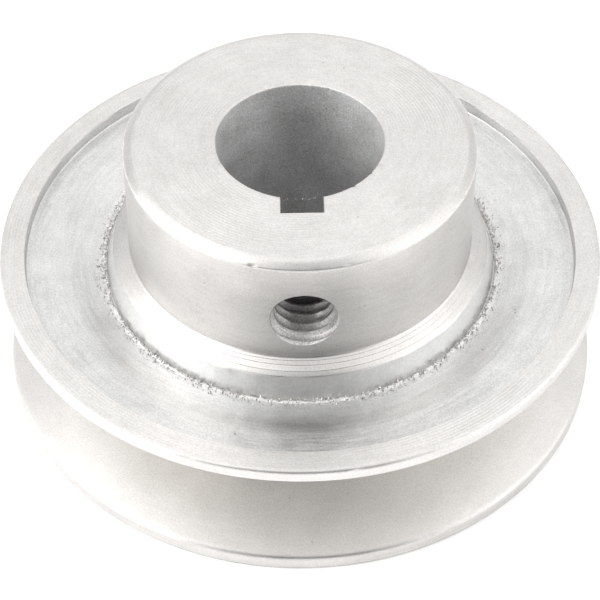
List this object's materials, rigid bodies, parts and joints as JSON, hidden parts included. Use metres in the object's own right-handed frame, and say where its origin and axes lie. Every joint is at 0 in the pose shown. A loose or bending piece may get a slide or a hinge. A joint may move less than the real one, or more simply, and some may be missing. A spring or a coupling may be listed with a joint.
{
  "type": "v belt pulley",
  "caption": "Single-groove V belt pulley with a raised hub, a keyed through bore and a radial hexagon-socket set screw over the keyway.",
  "frame": {"origin": "on the bore axis at the lower face, the face of the rim on the side away from the raised hub", "axes": "+Z along the bore towards the raised hub; -Y through the keyway and the tapped hole; +X completes a right-handed set"},
  "size_m": [0.0706, 0.0706, 0.0327],
  "materials": {
    "machined_aluminium": "turned hub, bore, rim and groove; as-cast web between them",
    "black_oxide_steel": "black oxide"
  },
  "bodies": {
    "pulley": {"pulley_casting": "machined_aluminium"},
    "screw": {"set_screw": "black_oxide_steel"}
  },
  "joints": [
    {"name": "set_screw_travel", "type": "slide", "parent": "pulley", "child": "screw", "axis": [0, -1, 0], "range_m": [0, 0.00564]}
  ]
}
